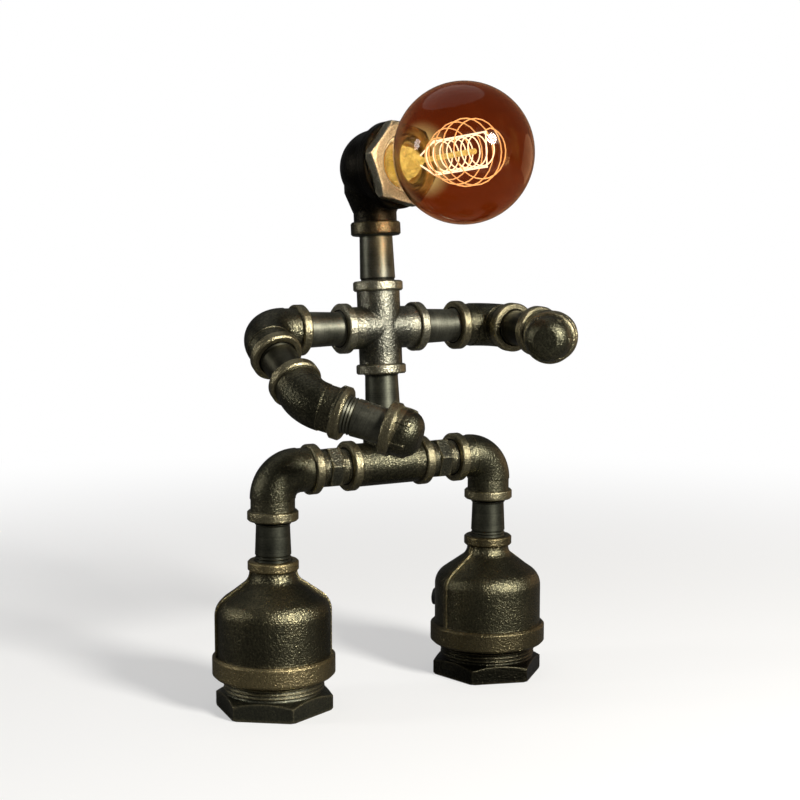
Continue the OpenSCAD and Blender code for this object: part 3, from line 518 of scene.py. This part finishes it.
# The glass as one smooth turned shell in place of the frame's banded one
def turnedGlass():
    size = globeSizes
    radius, reach, fillet, glass = (size[key] for key in ("radius", "reach", "fillet", "glass"))
    filletRing = size["neckRadius"] + fillet  # the fillet's own centre, out from the axis
    back = math.sqrt((radius + fillet) ** 2 - filletRing ** 2)
    stubWall = [(size["stub"], size["stubFoot"]), (size["stub"], size["foot"])]
    outer = stubWall + [(size["neckRadius"], size["foot"] + size["footLip"])]
    joinTurn = math.pi - math.atan2(back, filletRing)
    for step in range(size["filletSteps"] + 1):
        turn = math.pi + (joinTurn - math.pi) * step / size["filletSteps"]
        outer.append((filletRing + fillet * math.cos(turn), reach - back + fillet * math.sin(turn)))
    globeStart = math.asin(max(-1.0, min(1.0, (outer[-1][1] - reach) / radius)))
    for step in range(1, size["globeSteps"] + 1):
        turn = globeStart + (math.pi / 2 - globeStart) * step / size["globeSteps"]
        outer.append((radius * math.cos(turn), reach + radius * math.sin(turn)))

    # the inner face is the outer one moved in by the glass's thickness
    inner = [(out - glass, along) for out, along in stubWall]
    last = len(outer) - 1
    for i in range(len(stubWall) + 1, len(outer)):
        ahead = outer[min(i + 1, last)]
        behind = outer[i - 1]
        tangent = Vector((ahead[0] - behind[0], ahead[1] - behind[1])).normalized()
        if i == last:
            tangent = Vector((-1.0, 0.0))
        out, along = outer[i]
        inner.append((max(0.0, out - tangent.y * glass), along + tangent.x * glass))

    profile = outer + inner[::-1]
    count = len(profile)
    segments = size["segments"]
    across = upAxis.cross(lookAxis).normalized()
    upward = lookAxis.cross(across)
    verts = []
    faces = []
    for i in range(segments):
        angle = 2 * math.pi * i / segments
        away = across * math.cos(angle) + upward * math.sin(angle)
        verts += [headCentre + lookAxis * along + away * out for out, along in profile]
        here = i * count
        there = ((i + 1) % segments) * count
        for j in range(count):
            k = (j + 1) % count
            faces.append((here + j, there + j, there + k, here + k))
    mesh = bpy.data.meshes.new("globeGlass")
    mesh.from_pydata(verts, [], faces)
    work = bmesh.new()
    work.from_mesh(mesh)
    bmesh.ops.remove_doubles(work, verts=work.verts, dist=size["weld"])
    bmesh.ops.recalc_face_normals(work, faces=work.faces)
    work.to_mesh(mesh)
    work.free()
    for face in mesh.polygons:
        face.use_smooth = True
    turned = bpy.data.objects.new("globeGlass", mesh)
    bpy.context.scene.collection.objects.link(turned)
    return turned


# Amber glass, its near wall pale, its far wall deep and golden in the neck
glassLook = {
    "near": (0.90, 0.78, 0.58),
    "top": (0.10, 0.013, 0.002),
    "low": (0.165, 0.024, 0.003),
    "neck": (0.55, 0.40, 0.18),
    "neckRange": (0.0315, 0.0385),  # behind the globe's centre
    "streakPlace": (1.0, 1.0, 3.0),
    "streaks": (38.0, 3.0),
    "streakSwing": 1.2,
    "farDepth": (1.4, 1.6),  # Light Path's depth is 0 or 1 at the near wall and more at the far one
    "rimDepth": (0.4, 0.6),  # at the rim it's 1 where a ray leaves by the outer skin
    "skin": (0.6, 0.4),  # where that skin lies, in shares of the glass in from its outer face
    "rough": 0.05,
    "ior": 1.28,
    "letThrough": (0.93, 0.87, 0.80),
}


def glassMaterial(name, origin, axis):
    look = glassLook
    radius, glass = globeSizes["radius"], globeSizes["glass"]
    g = startMaterial(name)
    place = g.place()
    fromCentre = place - tuple(origin)
    streaks = g.noise(place * look["streakPlace"], *look["streaks"])
    height = fromCentre.dot(upAxis) * (0.5 / radius) + 0.5  # 0 at the globe's foot, 1 at its top
    colour = g.blend(look["low"], look["top"], (height + streaks.swing(look["streakSwing"])).clamped())
    colour = g.blend(colour, look["neck"], fromCentre.dot(-axis).ramp(*look["neckRange"]))
    depth = g.ray("Transmission Depth")
    skinFrom, skinTo = (radius - glass * share for share in look["skin"])
    skin = fromCentre.length().ramp(skinFrom, skinTo)
    farWall = depth.ramp(*look["farDepth"]).larger(depth.ramp(*look["rimDepth"]) * skin)
    colour = g.blend(look["near"], colour, farWall)
    clear = g.surface(Base_Color=colour, Roughness=look["rough"], IOR=look["ior"], Transmission_Weight=1.0)
    through = g.add("ShaderNodeBsdfTransparent", {}, {"Color": look["letThrough"]})
    g.end(g.shaders(clear, through, g.ray("Is Shadow Ray")))
    return g.owner


globe = turnedGlass()
globeCentre = headCentre + lookAxis * globeSizes["reach"]
globe.data.materials.append(glassMaterial("amberGlass", globeCentre, lookAxis))
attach(globe, "bulb")
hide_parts("bulb_glass")
print("bulb built")

# Camera, fitted to the photograph
cameraLook = {
    "azimuth": -30.7,
    "elevation": 6.08,
    "roll": 0.05,
    "distance": 0.92295,
    "aim": (0.0106, 0.0352, 0.1777),
    "focal": 1520.0,  # in pixels of a picture of this width
    "width": 800.0,
    "sensor": 36.0,
    "farthest": 20.0,
}
azimuth, elevation, roll = (math.radians(cameraLook[key]) for key in ("azimuth", "elevation", "roll"))
backward = Vector((math.sin(azimuth) * math.cos(elevation), -math.cos(azimuth) * math.cos(elevation),
                   math.sin(elevation)))
rightward = Vector((math.cos(azimuth), math.sin(azimuth), 0.0))
upward = backward.cross(rightward)
turn = Matrix((rightward, upward, backward)).transposed().to_4x4() @ Matrix.Rotation(roll, 4, "Z")
stand = Vector(cameraLook["aim"]) + backward * cameraLook["distance"]
camera = bpy.data.objects.new("camera", bpy.data.cameras.new("camera"))
camera.matrix_world = Matrix.Translation(stand) @ turn
camera.data.lens = cameraLook["focal"] / cameraLook["width"] * cameraLook["sensor"]
camera.data.sensor_width = cameraLook["sensor"]
camera.data.clip_end = cameraLook["farthest"]
bpy.context.scene.collection.objects.link(camera)
bpy.context.scene.camera = camera
print("camera set")

# The floor is white to the camera and dull to light and reflections, and keeps the shadow near the feet
white = (1.0, 1.0, 1.0)
floorLook = {
    "half": 6.0,
    "down": 0.0002,
    "dull": (0.12, 0.12, 0.12),
    "pale": (0.85, 0.85, 0.85),
    "whiteNear": 0.45,  # the share of plain white near the feet
    "whiteRange": (0.25, 1.1),  # where it grows to all, in metres from the middle
}
half = floorLook["half"]
corners = [(-half, -half, 0.0), (half, -half, 0.0), (half, half, 0.0), (-half, half, 0.0)]
floorMesh = bpy.data.meshes.new("floor")
floorMesh.from_pydata(corners, [], [(0, 1, 2, 3)])
floor = bpy.data.objects.new("floor", floorMesh)
bpy.context.scene.collection.objects.link(floor)
floor.location.z = -floorLook["down"]
ground = startMaterial("paleFloor")
distant = ground.place().length().ramp(*floorLook["whiteRange"])
whiteShare = floorLook["whiteNear"] + (1.0 - floorLook["whiteNear"]) * distant
groundSeen = ground.seen()
dull = ground.add("ShaderNodeBsdfDiffuse", {}, {"Color": floorLook["dull"]})
pale = ground.add("ShaderNodeBsdfDiffuse", {}, {"Color": floorLook["pale"]})
blank = ground.add("ShaderNodeEmission", {}, {"Color": white, "Strength": 1.0})
ground.end(ground.shaders(ground.shaders(dull, pale, groundSeen), blank, whiteShare * groundSeen))
floorMesh.materials.append(ground.owner)

lampAim = Vector((0.0, 0.0, 0.18))
lamps = {
    "keyLight": {"from": (0.34, -1.37, 0.78), "size": 0.42, "power": 42.0, "colour": (1.0, 0.98, 0.93)},
    "rimLight": {"from": (-1.2, 0.5, 0.55), "size": 0.3, "power": 3.5, "colour": (1.0, 0.98, 0.95)},
    "warmLight": {"from": (1.25, 0.1, 0.2), "size": 0.9, "power": 1.4, "colour": (1.0, 0.68, 0.38)},
    "topLight": {"from": (0.0, 0.4, 1.5), "size": 1.4, "power": 2.2, "colour": white},
}
for name, look in lamps.items():
    lamp = bpy.data.lights.new(name, "AREA")
    lamp.shape = "DISK"
    lamp.size = look["size"]
    lamp.energy = look["power"]
    lamp.color = look["colour"]
    hung = bpy.data.objects.new(name, lamp)
    hung.location = look["from"]
    hung.rotation_euler = (lampAim - Vector(look["from"])).to_track_quat("-Z", "Y").to_euler()
    bpy.context.scene.collection.objects.link(hung)

# The world is plain white behind the lamp, dim in reflections and a faint fill for the rest
worldLook = {"backdrop": 1.0, "mirror": 0.065, "fill": 0.14, "fillColour": (1.0, 0.99, 0.97)}
bpy.context.scene.world = bpy.data.worlds.new("studio")
sky = Graph(bpy.context.scene.world)
backdrop = sky.add("ShaderNodeBackground", {}, {"Color": white, "Strength": worldLook["backdrop"]})
mirrored = sky.add("ShaderNodeBackground", {}, {"Color": white, "Strength": worldLook["mirror"]})
warm = worldLook["fillColour"]
fill = sky.add("ShaderNodeBackground", {}, {"Color": warm, "Strength": worldLook["fill"]})
unseen = sky.shaders(fill, mirrored, sky.ray("Is Glossy Ray"))
sky.end(sky.shaders(unseen, backdrop, sky.seen()), "ShaderNodeOutputWorld")
bpy.context.scene.view_settings.view_transform = "Standard"
print("stage set")
